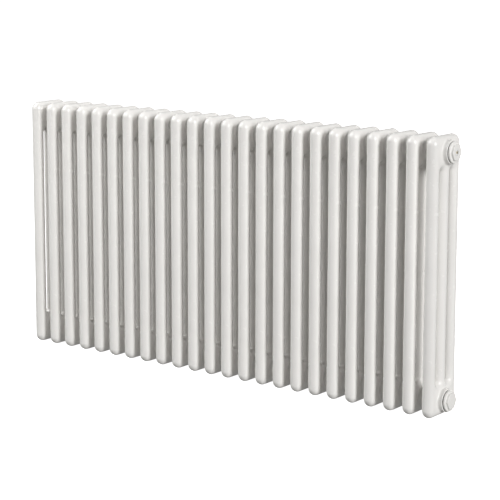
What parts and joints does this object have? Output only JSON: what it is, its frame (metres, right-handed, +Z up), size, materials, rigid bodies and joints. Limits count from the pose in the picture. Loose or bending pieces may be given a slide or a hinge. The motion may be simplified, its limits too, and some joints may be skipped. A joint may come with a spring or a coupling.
{
  "type": "column radiator",
  "caption": "White tubular steel column radiator for hot-water heating: slim three-tube sections joined through their hubs, with end plugs, bushes and an air vent.",
  "frame": {"origin": "on the floor plane under the middle of the row of sections and of the columns", "axes": "+X along the radiator towards the end with the plugs, +Y towards the wall, +Z up"},
  "size_m": [1.1228, 0.1004, 0.565],
  "materials": {
    "white_enamel": "semi-gloss powder coat",
    "nipple_steel": "plain turned steel",
    "joint_gasket": "painted-over fibre gasket",
    "seal_rubber": "matte black rubber",
    "vent_plastic": "satin white plastic",
    "screw_brass": "machined brass"
  },
  "bodies": {
    "radiator": {"section_01": "white_enamel", "section_02": "white_enamel", "section_03": "white_enamel", "section_04": "white_enamel", "section_05": "white_enamel", "section_06": "white_enamel", "section_07": "white_enamel", "section_08": "white_enamel", "section_09": "white_enamel", "section_10": "white_enamel", "section_11": "white_enamel", "section_12": "white_enamel", "section_13": "white_enamel", "section_14": "white_enamel", "section_15": "white_enamel", "section_16": "white_enamel", "section_17": "white_enamel", "section_18": "white_enamel", "section_19": "white_enamel", "section_20": "white_enamel", "section_21": "white_enamel", "section_22": "white_enamel", "section_23": "white_enamel", "section_24": "white_enamel", "nipples_01": "nipple_steel", "nipples_02": "nipple_steel", "nipples_03": "nipple_steel", "nipples_04": "nipple_steel", "nipples_05": "nipple_steel", "nipples_06": "nipple_steel", "nipples_07": "nipple_steel", "nipples_08": "nipple_steel", "nipples_09": "nipple_steel", "nipples_10": "nipple_steel", "nipples_11": "nipple_steel", "nipples_12": "nipple_steel", "nipples_13": "nipple_steel", "nipples_14": "nipple_steel", "nipples_15": "nipple_steel", "nipples_16": "nipple_steel", "nipples_17": "nipple_steel", "nipples_18": "nipple_steel", "nipples_19": "nipple_steel", "nipples_20": "nipple_steel", "nipples_21": "nipple_steel", "nipples_22": "nipple_steel", "nipples_23": "nipple_steel", "flow_bush": "white_enamel", "return_bush": "white_enamel", "blanking_plug": "white_enamel", "vent_plug": "white_enamel", "top_joint_gaskets": "joint_gasket", "bottom_joint_gaskets": "joint_gasket", "flow_bush_seal": "seal_rubber", "return_bush_seal": "seal_rubber", "blanking_plug_seal": "seal_rubber", "vent_plug_seal": "seal_rubber"},
    "vent_outlet": {"vent_outlet_ring": "vent_plastic"},
    "vent_screw": {"bleed_screw": "screw_brass"}
  },
  "joints": [
    {"name": "vent_outlet_turn", "type": "hinge", "parent": "radiator", "child": "vent_outlet", "pos_m": [0.5595, 0, 0.5325], "axis": [1, 0, 0], "continuous": true},
    {"name": "bleed_screw_turn", "type": "hinge", "parent": "radiator", "child": "vent_screw", "pos_m": [0.5595, 0, 0.5325], "axis": [1, 0, 0], "range_deg": [0, 540]}
  ]
}
